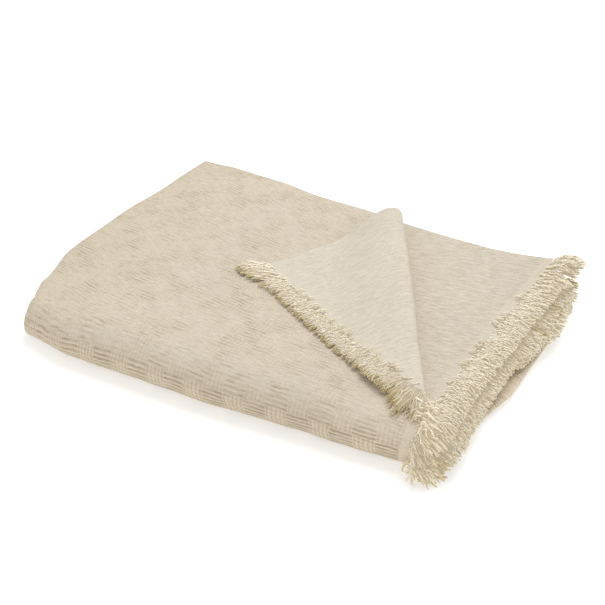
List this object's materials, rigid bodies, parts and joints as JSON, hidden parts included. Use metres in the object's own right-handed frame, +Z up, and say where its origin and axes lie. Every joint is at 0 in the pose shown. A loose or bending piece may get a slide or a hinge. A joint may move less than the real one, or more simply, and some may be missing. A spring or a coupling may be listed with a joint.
{
  "type": "sofa throw",
  "caption": "Basket-weave cotton sofa throw with cut yarn fringes at both ends, folded into a flat pile with one top corner turned back.",
  "frame": {"origin": "middle of the bottom of the folded throw, on the surface it rests on", "axes": "+X along the pile to its fringed end, +Y from the front fold to the back edges, +Z up"},
  "size_m": [0.5506, 0.3964, 0.0872],
  "materials": {
    "cotton_weave": "matte woven cotton, natural ecru",
    "cotton_fringe": "matte loose cotton yarn, natural ecru"
  },
  "bodies": {
    "root": {"throw_cloth": "cotton_weave", "fringe_end_a": "cotton_fringe", "fringe_end_b": "cotton_fringe"}
  },
  "joints": []
}
